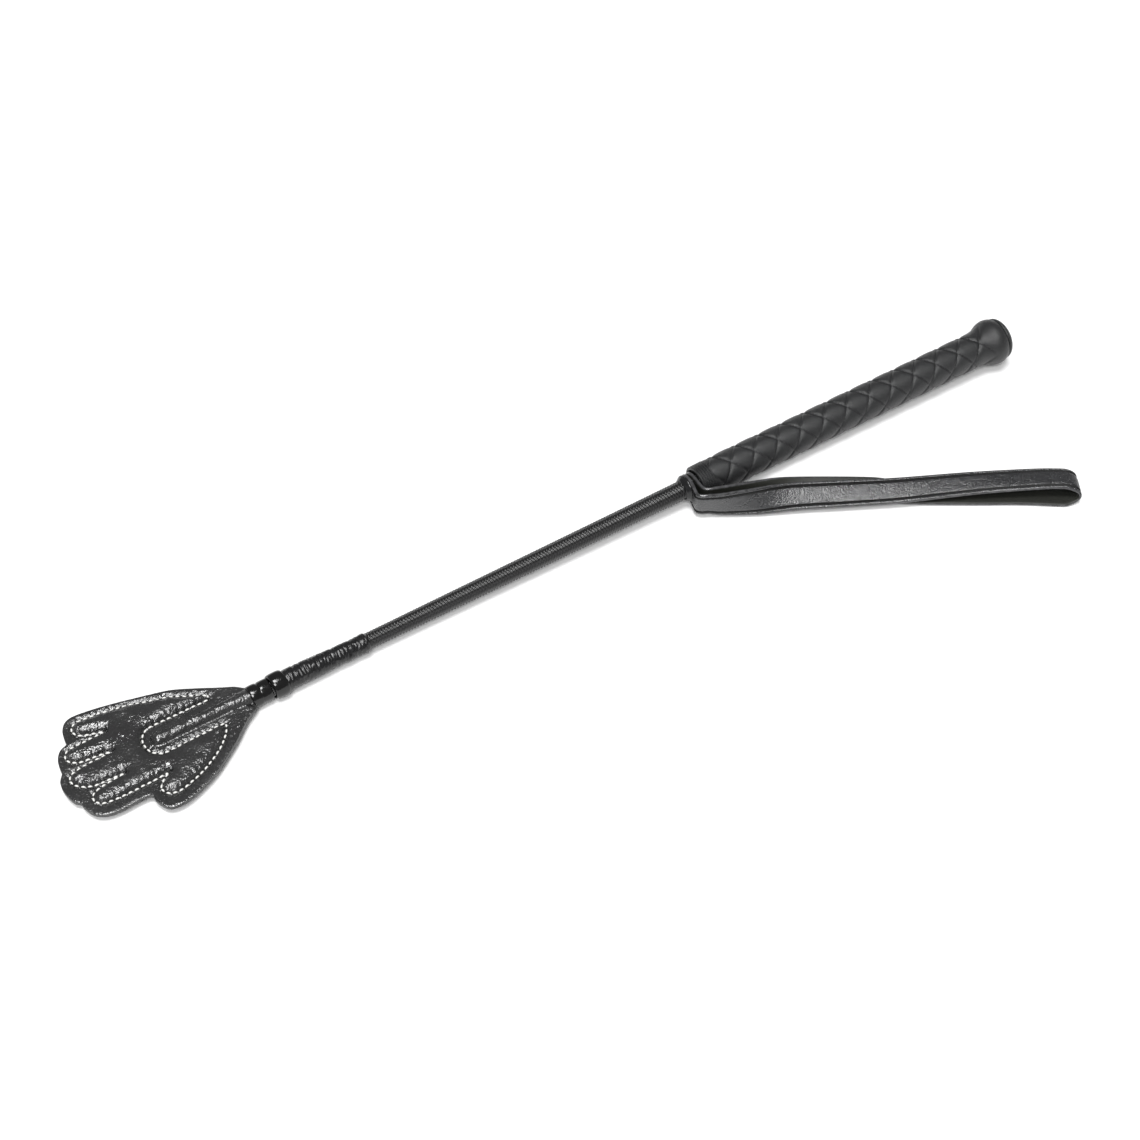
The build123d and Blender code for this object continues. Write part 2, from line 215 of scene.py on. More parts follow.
def rough(points, scale, seed, octaves=3):
    """Smooth noise, about -1 to 1, at each point; scale is the size of its lumps in mm."""
    turned = [noise.fractal(Vector(p) / scale + Vector((seed, 0, 0)), 0.8, 2.1, octaves) for p in points]
    return np.array(turned)


# ------------------------------------------------------------------ materials
# A noise scale is in lumps to the metre: 70 is 14 mm, 260 is 3.8 mm and 900 is 1.1 mm.
def add(tree, kind, inputs=None, **settings):
    """Adds a node; inputs maps a socket's name or number to a value or to another node's output."""
    made = tree.nodes.new("ShaderNode" + kind)
    for key, value in settings.items():
        setattr(made, key, value)
    for key, value in (inputs or {}).items():
        if isinstance(value, bpy.types.NodeSocket):
            tree.links.new(value, made.inputs[key])
        else:
            made.inputs[key].default_value = value
    return made


def ramp(made, *stops):
    """Sets a colour ramp's stops, each (place, hex colour or grey)."""
    band = made.color_ramp
    while len(band.elements) < len(stops):
        band.elements.new(1.0)
    for element, (place, colour) in zip(band.elements, stops):
        element.position = place
        element.color = rgb(colour) if isinstance(colour, str) else (colour, colour, colour, 1)
    return made.outputs["Color"]


def new_material(name, **shader):
    """A material and its tree, with the constants of its shader set on the shader itself."""
    material = bpy.data.materials.new(name)
    material.use_nodes = True
    tree = material.node_tree
    tree.nodes.clear()
    output = add(tree, "OutputMaterial")
    principled = add(tree, "BsdfPrincipled", {key.replace("_", " "): value for key, value in shader.items()})
    tree.links.new(principled.outputs["BSDF"], output.inputs["Surface"])
    return material, tree, principled


def pebbled_leather(name, dark, light, grain, roughness, relief, stitched=False, **shader_values):
    """Drum-dyed cowhide with an embossed pebble grain: round pebbles with creases between them. When
    stitched, painted shade darkens its colour towards the seams.
    """
    material, tree, shader = new_material(name, **shader_values)
    place = add(tree, "TexCoord").outputs["Object"]
    stray = add(tree, "TexNoise", {"Vector": place, "Scale": 260.0, "Detail": 2.0})
    bent = add(tree, "MixRGB", {"Fac": 0.0012, "Color1": place, "Color2": stray.outputs["Color"]},
               blend_type="ADD").outputs["Color"]
    pebbles = add(tree, "TexVoronoi", {"Vector": bent, "Scale": 1 / (grain * MM), "Smoothness": 0.35,
                                       "Randomness": 0.95}, feature="SMOOTH_F1")
    fine = add(tree, "TexNoise", {"Vector": place, "Scale": 2.2 / (grain * MM), "Detail": 4.0})
    patches = add(tree, "TexNoise", {"Vector": place, "Scale": 70.0, "Detail": 3.0})
    height = add(tree, "MixRGB", {"Fac": 0.35, "Color1": pebbles.outputs["Distance"],
                                  "Color2": fine.outputs["Fac"]}).outputs["Color"]
    colour = ramp(add(tree, "ValToRGB", {"Fac": height}), (0.2, light), (0.75, dark))
    # stitched leather: painted shade in the seam valleys, taken from the seam attribute
    if stitched:
        shade = add(tree, "Attribute", attribute_name="seam").outputs["Fac"]
        colour = add(tree, "MixRGB", {"Fac": shade, "Color1": colour,
                                      "Color2": rgb("#040404")}).outputs["Color"]
    tree.links.new(colour, shader.inputs["Base Color"])
    shine = add(tree, "MapRange", {"Value": patches.outputs["Fac"], "From Min": 0.35, "From Max": 0.65,
                                   "To Min": roughness - 0.07, "To Max": roughness + 0.07})
    tree.links.new(shine.outputs["Result"], shader.inputs["Roughness"])
    bump = add(tree, "Bump", {"Height": height, "Strength": relief, "Distance": 0.0005}, invert=True)
    if stitched:
        folds = add(tree, "TexNoise", {"Vector": place, "Scale": 900.0, "Detail": 3.0, "Distortion": 0.6})
        gather = add(tree, "Attribute", attribute_name="gather").outputs["Fac"]
        bump = add(tree, "Bump", {"Height": folds.outputs["Fac"], "Strength": gather, "Distance": 0.0002,
                                  "Normal": bump.outputs["Normal"]})
    tree.links.new(bump.outputs["Normal"], shader.inputs["Normal"])
    return material


def plain_finish(name, dark, light, scale, roughness, relief, stretch=(1, 1, 1), depth=0.0002, **shader):
    """A finish whose colour and surface vary by fine noise of a size in mm, stretched along the crop."""
    material, tree, principled = new_material(name, **shader)
    place = add(tree, "TexCoord").outputs["Object"]
    turned = add(tree, "Mapping", {"Vector": place, "Scale": stretch}).outputs["Vector"]
    grain = add(tree, "TexNoise", {"Vector": turned, "Scale": 1 / (scale * MM), "Detail": 5.0,
                                   "Roughness": 0.6})
    colour = ramp(add(tree, "ValToRGB", {"Fac": grain.outputs["Fac"]}), (0.35, dark), (0.65, light))
    tree.links.new(colour, principled.inputs["Base Color"])
    shine = add(tree, "MapRange", {"Value": grain.outputs["Fac"], "From Min": 0.3, "From Max": 0.7,
                                   "To Min": roughness - 0.05, "To Max": roughness + 0.05})
    tree.links.new(shine.outputs["Result"], principled.inputs["Roughness"])
    bump = add(tree, "Bump", {"Height": grain.outputs["Fac"], "Strength": relief, "Distance": depth})
    tree.links.new(bump.outputs["Normal"], principled.inputs["Normal"])
    return material


# Drum-dyed cowhide under a glossy finish, whose folds catch silver lights; painted shade darkens it along the
# seams.
FLAP = pebbled_leather("flap_pebbled_cowhide", "#040404", "#1c1c1d", 1.0, 0.25, 0.5, True, IOR=2.0)
# The same kind of hide, split thinner and embossed finer, with small sparkles.
STRAP = pebbled_leather("strap_pebbled_leather", "#08080a", "#1e1f23", 0.8, 0.26, 0.7, IOR=1.85)
# Leather pressed down by a hot tool into a dull groove; its near-black colour is painted shade in the groove.
CREASE = plain_finish("tooled_crease", "#020202", "#060606", 0.5, 0.6, 0.2, IOR=1.4)
# Leather cut and dyed, but not polished: a matt, fibrous edge.
CUT_EDGE = plain_finish("dyed_cut_edge", "#050505", "#100f0e", 0.5, 0.6, 0.5, IOR=1.45)
# Edge rubbed smooth with wax, with a soft gloss; its grey, lighter than the grain side, is painted highlight
# along the edge.
POLISHED_EDGE = plain_finish("burnished_edge", "#2c2c2d", "#4b4b4d", 3.0, 0.2, 0.1, IOR=1.6)
# Back of the hide: dull and slightly warm, its grey darkened as painted shade for the gap between the strap's
# two runs.
FLESH = plain_finish("strap_flesh_side", "#171815", "#262722", 0.6, 0.5, 0.25, IOR=1.45)
# Skived leather drawn tight: soft lights along its creases.
SLEEVE = plain_finish("thin_sleeve_leather", "#060607", "#131315", 0.9, 0.28, 0.5, IOR=1.52)
# Lacquered leather: deep black with small bright lights.
PATENT = plain_finish("polished_lace_leather", "#020202", "#070708", 1.5, 0.14, 0.3, IOR=1.55)
# Plaited nylon yarn: black with a light on the crown of each strand.
BRAID = plain_finish("plaited_nylon", "#020203", "#080809", 0.35, 0.33, 0.5, IOR=1.65)
# Rubber from a blasted mould: an even, matt charcoal.
RUBBER = plain_finish("moulded_grip_rubber", "#151516", "#232425", 0.4, 0.42, 0.8, depth=0.0003, IOR=1.52)
KNOB_RUBBER = plain_finish("moulded_knob_rubber", "#141415", "#222324", 0.4, 0.4, 0.7, depth=0.0003,
                           IOR=1.52)
# Rubber from a polished mould: a bright line round the rim.
NECK_RUBBER = plain_finish("ferrule_rubber", "#0a0a0b", "#141416", 1.2, 0.24, 0.08, IOR=1.52)
# Bonded polyester with wax on it: white with a faint sheen.
THREAD = plain_finish("waxed_polyester_thread", "#dededa", "#fafaf6", 0.3, 0.45, 0.4, IOR=1.55)
# Inner pieces, seen only when the crop is taken apart; the long grain of rod and core runs along them.
INSIDE = {
    "shaft_rod": plain_finish("pultruded_fibreglass", "#8d8a62", "#b9b58c", 0.4, 0.4, 0.2, (0.05, 1, 1)),
    "rod_tip_cap": plain_finish("black_polythene", "#101010", "#1c1c1c", 1.0, 0.5, 0.1),
    "sleeve_whipping": plain_finish("waxed_whipping", "#0d0d0c", "#242320", 0.25, 0.5, 0.6, (4, 1, 1)),
    "grip_core": plain_finish("turned_softwood", "#a9814f", "#d0ac78", 0.8, 0.6, 0.3, (0.08, 1, 1)),
    "butt_tack": plain_finish("bright_steel", "#9b9c9e", "#c6c7c9", 0.3, 0.3, 0.1, Metallic=1.0)}
FOAM = plain_finish("open_cell_foam", "#a9a79a", "#d4d2c6", 0.4, 0.9, 0.7)


# ------------------------------------------------------------------ camera, floor and light
def set_camera():
    """Looks down on the crop from the thumb's side, 50 degrees above the floor."""
    elevation, heading, distance = radians(50), radians(31.7), 1.15
    look = Vector((sin(heading) * cos(elevation), cos(heading) * cos(elevation), -sin(elevation)))
    target = Vector((-0.0051, 0.02837, 0))
    deselect()
    bpy.ops.object.camera_add(location=target - look * distance)
    camera = bpy.context.object
    camera.rotation_euler = look.to_track_quat("-Z", "Y").to_euler()
    camera.data.lens = 72.6
    camera.data.clip_start, camera.data.clip_end = 0.05, 50
    bpy.context.scene.camera = camera


def set_stage():
    """Pale seamless floor under a soft light overhead and another in front, in a white room."""
    deselect()
    bpy.ops.mesh.primitive_plane_add(size=12, location=(0, 0, -0.0002))
    floor = bpy.context.object
    floor.name = "studio_floor"
    paper, tree, shader = new_material("matt_white_paper", Roughness=0.9)
    grain = add(tree, "TexNoise", {"Scale": 900.0, "Detail": 2.0})
    pale = ramp(add(tree, "ValToRGB", {"Fac": grain.outputs["Fac"]}), (0.3, "#f6f6f6"), (0.7, "#fafafa"))
    tree.links.new(pale, shader.inputs["Base Color"])
    dress(floor, paper)
    room = bpy.data.worlds.new("white_room")
    room.use_nodes = True
    room.node_tree.nodes["Background"].inputs["Color"].default_value = (1, 1, 1, 1)
    room.node_tree.nodes["Background"].inputs["Strength"].default_value = 0.3
    bpy.context.scene.world = room
    for place, strength, spread in (((-0.1, -0.1, 1.0), 2.2, 22), ((-0.45, -0.62, 1.0), 1.6, 20)):
        bpy.ops.object.light_add(type="SUN", location=place)
        lamp = bpy.context.object
        lamp.data.energy, lamp.data.angle = strength, radians(spread)
        lamp.rotation_euler = (-Vector(place)).to_track_quat("-Z", "Y").to_euler()
    bpy.context.scene.view_settings.view_transform = "Standard"


set_camera()
set_stage()


# ------------------------------------------------------------------ shaft
BRAID_RUNG = 1.6         # mm from one rung of the plait to the next
BRAID_STRANDS = 8        # strands of each hand
BRAID_X = 36             # where it starts to widen
BRAID_R, BRAID_TAPER = 3.76, 1.16     # radius there, and how much it grows by the end
SLEEVE_XS = [19, 20, 24, 34, 48, 57, 61, 63, 64]
SLEEVE_RADII = [4.9, 5.3, 5.35, 5.1, 4.75, 4.6, 4.85, 4.75, 4.1]
LACE_BORE = 4.3
# Each turn of lace: its middle, half its width, the radius of its crown, its lean and its rise.
LACE_TURNS = ((2.9, 2.75, 5.75, 0.3, 0.0), (8.4, 2.9, 5.6, -0.3, 0.1), (15.3, 3.8, 6.5, 0.5, 0.55))


def plait(a, b):
    """Height, 0 to 1, of a two-over-two plait; a and b count the strands of each hand."""
    def strand(own, other, over):
        crown = np.sqrt(np.clip(1 - (2 * (own % 1) - 1) ** 2, 0, 1))
        ride = np.cos(pi / 2 * (other - np.floor(own) - over))
        return crown * (0.6 + 0.4 * ride)
    return np.maximum(strand(a, b, 1), strand(b, a, 2))


def braid_surface(x, angle):
    """Radius of the plait over the tapered rod."""
    taper = BRAID_R + BRAID_TAPER * np.clip((x - BRAID_X) / (BRAID_END - BRAID_X), 0, 1)
    turn = BRAID_STRANDS * angle / (2 * pi)
    return taper - 0.55 + 0.85 * plait(x / BRAID_RUNG - turn, x / BRAID_RUNG + turn)


def braided_cover():
    """Plaited nylon over the whole rod."""
    rows = np.arange(37, BRAID_END, BRAID_RUNG / 6)
    cover = rolled("braided_cover", rows, 64, braid_surface)
    finished(cover, BRAID, "nylon_braid", "crop", "braid_cover")


def creased_sleeve():
    """Thin leather shrunk over the joint, gathered into fine rings of creases."""
    def surface(x, angle):
        body = np.interp(x, SLEEVE_XS, SLEEVE_RADII)
        flat = np.stack([x, 5 * np.cos(angle), 5 * np.sin(angle)], axis=2).reshape(-1, 3)
        folds = rough(flat * (2.2, 0.5, 0.5), 3.0, 11).reshape(x.shape)
        waves = rough(flat * (0.5, 0.6, 0.6), 6.0, 5, 2).reshape(x.shape)
        fade = np.clip((x - 19) / 2, 0, 1) * np.clip((64 - x) / 1.5, 0, 1)
        return body - (0.62 * np.abs(folds) - 0.2 + 0.2 * waves) * fade
    sleeve = rolled("creased_sleeve", np.arange(19, 64.2, 0.35), 72, surface)
    finished(sleeve, SLEEVE, "sleeve_leather", "crop", "tip_sleeve")


def binding_turns():
    """Three tight, polished turns of lace; the one beside the sleeve is the fullest."""
    angles = np.linspace(0, 2 * pi, 97)
    sections = np.linspace(0, 2 * pi, 25)
    pieces = []
    for x, half_width, crown, lean, rise in LACE_TURNS:
        angle, section = np.meshgrid(angles, sections, indexing="ij")
        dent = 0.2 * np.sin(3 * angle + x) + 0.12 * np.sin(5 * angle - 2 * x + 2 * section)
        radial = (crown + LACE_BORE) / 2 + (crown - LACE_BORE + dent) / 2 * np.sign(np.sin(section)) * \
            np.abs(np.sin(section)) ** 0.8
        across = x + lean * np.cos(angle) + half_width * np.sign(np.cos(section)) * \
            np.abs(np.cos(section)) ** 0.7
        points = np.stack([across, -radial * np.cos(angle) - rise / 2, radial * np.sin(angle) + rise], axis=2)
        pieces.append(closed_up(laid_grid("lace_turn", points)))
    activate(pieces[0])
    for piece in pieces:
        piece.select_set(True)
    bpy.ops.object.join()
    lace = bpy.context.object
    lace.name = lace.data.name = "binding_turns"
    finished(lace, PATENT, "glossy_lace", "crop", "binding_lace")


def collar_ferrule():
    """Flared rubber ring in front of the strap, with a rounded rim."""
    xs = [FERRULE_X - 0.2, FERRULE_X, FERRULE_X + 0.3, FERRULE_X + 0.8, FERRULE_X + 1.4, FERRULE_X + 1.9,
          FERRULE_END - 0.8, FERRULE_END - 0.4, FERRULE_END - 0.1, FERRULE_END]
    radii = [5.0, 5.4, 5.7, 6.05, 6.5, 6.9, 7.15, 7.2, 7.05, 6.7]
    ring = rolled("collar_ferrule", xs, 72, lambda x, angle: np.interp(x, xs, radii), bore=4.85)
    apply_modifier(ring, "SUBSURF", levels=1, render_levels=1)
    finished(ring, NECK_RUBBER, "rubber", "crop", "neck_ferrule")


braided_cover()
creased_sleeve()
binding_turns()
collar_ferrule()

# ------------------------------------------------------------------ handle
LATTICE_X = 274.0        # a crossing of the lattice, and its angle from the thumb's side
LATTICE_ANGLE = radians(69)
LATTICE_PITCH = 14.5
LATTICE_BANDS = 3        # bands of each hand round the grip
RELIEF = 1.05
RING_PITCH, RING_HEIGHT = 1.35, 0.45   # fine rings at the grip's mouth
GRIP_BORE = 7.62
# radius along the grip and the knob
HANDLE_PROFILE = [(GRIP_X, 8.3), (GRIP_X + 0.6, 8.75), (GRIP_X + 3, 8.8), (GRIP_X + 8, 9.0), (275, 9.3),
                  (300, 9.3), (430, 9.35), (434.5, 9.4), (437, 9.8), (439, 10.6), (441, 11.6),
                  (443, 12.3), (445, 12.5), (447, 12.2), (KNOB_END - 0.5, 11.6), (KNOB_END, 11.0)]


def lattice(x, angle):
    """Height, 0 to 1, of flat bands woven one over, one under."""
    turn = LATTICE_BANDS * (angle - LATTICE_ANGLE) / (2 * pi)
    a = (x - LATTICE_X) / LATTICE_PITCH - turn
    b = (x - LATTICE_X) / LATTICE_PITCH + turn
    first_on_top = (np.floor(a) + np.floor(b)) % 2 == 0
    across = np.abs(2 * (np.where(first_on_top, a, b) % 1) - 1)
    along = np.abs(2 * (np.where(first_on_top, b, a) % 1) - 1)
    return (1 - 0.55 * across**14) * (1 - along**7) * (1 - 0.25 * along**2)


def handle_surface(x, angle):
    """Radius of grip and knob with the moulded lattice and the rings at the mouth."""
    body = along_profile(x, HANDLE_PROFILE)
    rings_end = GRIP_X + 7.5
    rings = RING_HEIGHT * np.cos(2 * pi * (x - GRIP_X - 0.4) / RING_PITCH) * (x < rings_end)
    share = np.clip((x - rings_end) / 1.0, 0, 1) * np.clip((442 - x) / 5, 0, 1)
    return body + rings + (RELIEF * lattice(x, angle) - RELIEF * 0.8) * share


def handle():
    """Moulded grip and the knob that carries its lattice on to the butt."""
    grip_rows = np.concatenate([np.arange(GRIP_X, GRIP_X + 9, 0.22), np.arange(GRIP_X + 9.2, GRIP_END, 0.5),
                                [GRIP_END]])
    grip = rolled("woven_grip", grip_rows, 132, handle_surface, bore=GRIP_BORE)
    finished(grip, RUBBER, "grip_rubber", "crop", "grip_sleeve")
    knob = rolled("flared_knob", np.arange(GRIP_END, KNOB_END + 0.1, 0.4), 132, handle_surface)
    finished(knob, KNOB_RUBBER, "grip_rubber", "crop", "butt_knob")


def end_cap():
    """Domed disc, stepped in from the knob's rim by a fine groove."""
    xs = [KNOB_END - 0.4, KNOB_END + 0.25, KNOB_END + 0.3, KNOB_END + 0.9, KNOB_END + 1.6, KNOB_END + 2.6,
          KNOB_END + 3.8, KNOB_END + 4.9, KNOB_END + 5.6, CAP_END - 0.15, CAP_END]
    radii = [10.6, 10.6, 11.1, 11.35, 11.25, 10.6, 9.0, 6.6, 4.1, 2.0, 0.4]
    cap = rolled("domed_end_cap", xs, 96, lambda x, angle: np.interp(x, xs, radii))
    apply_modifier(cap, "SUBSURF", levels=1, render_levels=1)
    finished(cap, KNOB_RUBBER, "cap_rubber", "crop", "butt_end_cap")


handle()
end_cap()

# ------------------------------------------------------------------ wrist strap
# The pierced ends' middle lines, in the crop's frame: x and y.
OUTER_END = [(250.1, 7.25), (250.1, 4), (250.1, 0), (249.6, -4.6), (248.5, -8.4), (247.9, -11.6),
             (248.9, -13.0), (250.6, -14.1), (252.8, -15.1)]
INNER_END = [(253, 7.25), (253, 4), (253, 0), (252.8, -4.5), (252.7, -7.8), (253.2, -10.2), (255.2, -11.6),
             (257.7, -12.4)]
# Stations in the strap's own frame: along it, sideways towards the grip, height over the floor,
# and lean from upright in degrees.
STRAP_ANGLE = radians(-27.5)
STRAP_HALF = 7.25        # half its width
PUNCH_R, PUNCH_LENGTH = 5.0, 9
OUTER_RUN = [(8, -2.3, 8.9, 5), (24, -1.0, 8.1, 25), (46, 1.9, 6.9, 58),
             (70, 2.4, 6.4, 67), (100, 2.9, 6.0, 74), (140, 4.3, 6.8, 86), (172, 3.5, 8.2, 92),
             (184.8, 2.6, 8.4, 93)]
INNER_RUN = [(12, 3.2, 8.9, 5), (26, 4.3, 8.2, 22), (47, 6.5, 6.3, 60),
             (68, 6.5, 5.1, 67), (90, 5.7, 4.0, 74), (104, 4.4, 2.4, 84), (139, 1.8, 1.1, 90),
             (163, 0.2, 1.0, 90), (184.8, -2.4, 1.0, 90)]
FOLD_REACH = 8.0         # how far the fold at the loop's end stands out beyond the two runs
HINGE = Vector(JOINTS["strap_swing"]["pos_m"]) / MM
FORWARD = Vector((cos(STRAP_ANGLE), sin(STRAP_ANGLE), 0))
ACROSS = Vector((-sin(STRAP_ANGLE), cos(STRAP_ANGLE), 0))


def run_station(s, t, z, lean, outer):
    """Middle, width direction and grain-side normal of the strap at a station, in mm."""
    tilt = radians(lean)
    middle = Vector((HINGE.x, HINGE.y, 0)) + FORWARD * s + ACROSS * t + Vector((0, 0, z))
    width = ACROSS * sin(tilt) + Vector((0, 0, cos(tilt)))
    normal = ACROSS * -cos(tilt) + Vector((0, 0, sin(tilt)))
    return (*middle, *width, *(normal if outer else -normal))


def end_stations(line, outer):
    """Stations of a pierced end, from its round tip past the shaft and round the bend."""
    stations = []
    for (x, y), run in zip(line, np.gradient(np.array(line), axis=0)):
        normal = (ALONG * run[1] - SIDE * run[0]).normalized()
        stations.append((*(CROP @ Vector((x, y, 0)) / MM), *UP, *(normal if outer else -normal)))
    return stations


def strap_line():
    """All stations from the outer pierced end round the loop to the inner one."""
    outer = end_stations(OUTER_END, True)
    outer += [run_station(*station, True) for station in OUTER_RUN]
    top, bottom = OUTER_RUN[-1], INNER_RUN[-1]
    half_drop = (top[2] - bottom[2]) / 2
    fold = []
    for k in range(1, 8):
        a = pi / 2 - pi * k / 8
        middle = Vector((HINGE.x, HINGE.y, 0)) + FORWARD * (top[0] + FOLD_REACH * cos(a)) + \
            ACROSS * (top[1] + (bottom[1] - top[1]) * k / 8)
        middle.z = bottom[2] + half_drop * (1 + sin(a))
        normal = FORWARD * cos(a) * half_drop + UP * sin(a) * FOLD_REACH
        fold.append((*middle, *ACROSS, *normal.normalized()))
    inner = [run_station(*station, False) for station in reversed(INNER_RUN)]
    inner += reversed(end_stations(INNER_END, False))
    return np.array(outer + fold + inner)


def strap_profile():
    """Section of the strap: width and height over its middle, grain side first."""
    grain = [(-6.75, 0.86), (-6.2, 0.98), (-5.7, 0.95), (-5.5, 0.5), (-5.15, 0.2), (-4.8, 0.5), (-4.6, 0.95),
             (-3, 1.05), (-1, 1.08)]
    grain += [(-w, n) for w, n in reversed(grain)]
    edge = [(7.1, 0.55), (7.25, 0.15), (7.25, -0.25), (7.05, -0.7)]
    flesh = [(6.6, -0.95), (5.2, -1.0), (2.6, -0.97), (0, -0.96), (-2.6, -0.97), (-5.2, -1.0), (-6.6, -0.95)]
    other = [(-w, n) for w, n in reversed(edge)]
    return np.array(grain + edge + flesh + other), len(grain), len(edge), len(flesh)


def wrist_strap():
    """One strip of leather: both pierced ends, the two runs and the fold between them."""
    line = curve_through(strap_line(), 1.5)
    middle, width, normal = line[:, :3], line[:, 3:6], line[:, 6:9]
    width /= np.linalg.norm(width, axis=1)[:, None]
    normal -= width * np.sum(width * normal, axis=1)[:, None]
    normal /= np.linalg.norm(normal, axis=1)[:, None]
    profile, grain, edge, flesh = strap_profile()
    gone = np.concatenate([[0], np.cumsum(np.linalg.norm(np.diff(middle, axis=0), axis=1))])
    from_end = np.minimum(gone, gone[-1] - gone)
    reach = np.clip(STRAP_HALF - from_end - 0.05, 0, STRAP_HALF)
    taper = np.sqrt(np.clip(1 - (reach / STRAP_HALF) ** 2, 0.003, 1))
    profile = np.vstack([profile, profile[:1]])
    points = (middle[:, None, :] + width[:, None, :] * profile[None, :, :1] * taper[:, None, None]
              + normal[:, None, :] * profile[None, :, 1:])
    strap = laid_grid("wrist_strap", points)
    zones = np.zeros(len(strap.data.polygons), int)
    uv = strap.data.uv_layers[0].data
    columns = len(profile) - 1
    for polygon in strap.data.polygons:
        v = np.mean([uv[k].uv[1] for k in polygon.loop_indices]) * columns
        # zone 1: the edges, whose lighter grey is painted highlight
        if grain - 0.9 < v < grain + edge or v > grain + edge + flesh - 0.1:
            zones[polygon.index] = 1
        # zone 2: the flesh side, darkened as painted shade
        elif v > grain:
            zones[polygon.index] = 2
        # zone 3: the crease's walls, near-black as painted shade in the groove
        elif 2 < v < 6 or grain - 7 < v < grain - 3:
            zones[polygon.index] = 3
    strap.data.polygons.foreach_set("material_index", zones)
    closed_up(strap)
    apply_modifier(strap, "SUBSURF", levels=1, render_levels=1)
    strap.data.transform(Matrix.Scale(MM, 4))
    pierce(strap)
    smooth(strap)
    for name in (STRAP, POLISHED_EDGE, FLESH, CREASE):
        strap.data.materials.append(name)
    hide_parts("strap_tab_outer", "strap_tab_inner", "wrist_loop")
    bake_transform(strap)
    print("strap length", gone[-1])


def pierce(strap):
    """Punches both ends for the shaft."""
    deselect()
    hole = CROP @ Vector(((OUTER_END[2][0] + INNER_END[2][0]) / 2, 0, 0))
    bpy.ops.mesh.primitive_cylinder_add(vertices=48, radius=PUNCH_R * MM, depth=PUNCH_LENGTH * MM,
                                        location=hole, rotation=ALONG.to_track_quat("Z", "Y").to_euler())
    punch = bpy.context.object
    apply_modifier(strap, "BOOLEAN", operation="DIFFERENCE", object=punch, solver="EXACT")
    bpy.data.objects.remove(punch)


wrist_strap()

# ------------------------------------------------------------------ hand-shaped flap
# Outline of the hand, forward of the wrist is negative; each run is one smooth curve.
THUMB_EDGE = [(2, -5.6), (0, -7.6), (-4.8, -10.3), (-9.3, -13.8), (-13.9, -17.9), (-18.8, -21.7),
              (-31.5, -30.4), (-45.2, -36.3), (-53.1, -37.8), (-59, -36.4), (-62, -31), (-62.4, -27.1)]
INDEX_EDGE = [(-62.4, -27.1), (-64, -25.7), (-69.9, -25.6), (-77.8, -26), (-84.7, -25), (-89.6, -21.5),
              (-92, -15.6), (-92.1, -13.2)]
MIDDLE_EDGE = [(-92.1, -13.2), (-94.7, -10.2), (-96.3, -3.4), (-95.8, 2.4), (-92.9, 6.8)]
RING_EDGE = [(-92.9, 6.8), (-92.7, 10.2), (-91.5, 15), (-88.6, 19.1), (-84.5, 20.8)]
LITTLE_EDGE = [(-84.5, 20.8), (-84.2, 24.7), (-82.8, 29.6), (-79.4, 33.4), (-73.5, 34.1), (-58.7, 31.5),
               (-39, 26.5), (-29.1, 23.4), (-19.2, 18.2), (-9.5, 12.7), (-2.9, 9.1), (2, 5.6)]
TONGUE = [(2, 5.6), (5, 4.7), (19, 4.5), (19, 0), (19, -4.5), (5, -4.7), (2, -5.6)]
# The one closed line of stitches: thumb, index, middle, ring, little finger, far edge, round the rod.
SEAM = [(-16, -8.1), (-17.4, -11.5), (-19.4, -14.4), (-24.2, -19.2), (-29.6, -22.8), (-36.5, -26.7),
        (-44.3, -29.5), (-51.2, -31.1), (-55.1, -30.1), (-57.9, -26.7), (-57.1, -24.3), (-53.7, -20.9),
        (-50.3, -18.8), (-55.7, -19.4), (-68, -19.6), (-75.9, -19.7), (-81.8, -19.1), (-85.7, -17.6),
        (-86.8, -14.7), (-85.8, -11.8), (-82.9, -10.4), (-78, -9.4), (-68.1, -8.5), (-78, -7.8),
        (-83.9, -7.4), (-86.8, -5.9), (-90.3, -3), (-91.8, -0.5), (-91.3, 1.9), (-89.9, 3.8), (-84, 5.2),
        (-78.1, 5.6), (-68.3, 5.8), (-74.2, 7.2), (-82.1, 7.9), (-86, 9.3), (-88.3, 12.1), (-88.3, 14),
        (-87.1, 16.5), (-84.6, 17.7), (-78.2, 17.8), (-66.4, 18.3), (-70.4, 19.5), (-76.3, 21.7),
        (-79.3, 23.7), (-79.6, 26.6), (-78.8, 28.6), (-76.4, 30), (-70.5, 29.9), (-58.6, 27.9),
        (-48.8, 25.8), (-38.9, 22.3), (-32, 20.3), (-24.1, 15.8), (-19.1, 13.4), (-16.2, 10.9),
        (-15.7, 9.2), (-24, 9), (-48.6, 9.1), (-51.6, 7.3), (-53.5, 4.4), (-54, 1), (-52.9, -4.3),
        (-50.9, -6.3), (-48.5, -7.8), (-45.5, -8), (-23.9, -7.6)]
STITCH_PITCH = 3.2
STITCH_REACH = 0.35
STITCH_HALF_WIDTH, STITCH_HALF_HEIGHT, STITCH_LIFT = 0.5, 0.46, 0.12
PLATE_H, PUFF_H = 1.3, 2.5       # leather over the middle plane, and the foam's lift over that
LEATHER_T = 1.2
RIDGE_H, RIDGE_HALF, RIDGE_END = 4.4, 3.7, -47.0   # leather drawn over the rod
RIDGE_Y = 0.4                    # the ridge's middle line
MESH_STEP = 0.52


def inside(points, polygon):
    """Which of the points lie within a closed outline."""
    x, y = points[:, 0], points[:, 1]
    found = np.zeros(len(points), bool)
    for (x0, y0), (x1, y1) in zip(polygon, np.roll(polygon, -1, axis=0)):
        if y0 != y1:
            crossing = ((y0 > y) != (y1 > y)) & (x < (x1 - x0) * (y - y0) / (y1 - y0) + x0)
            found ^= crossing
    return found


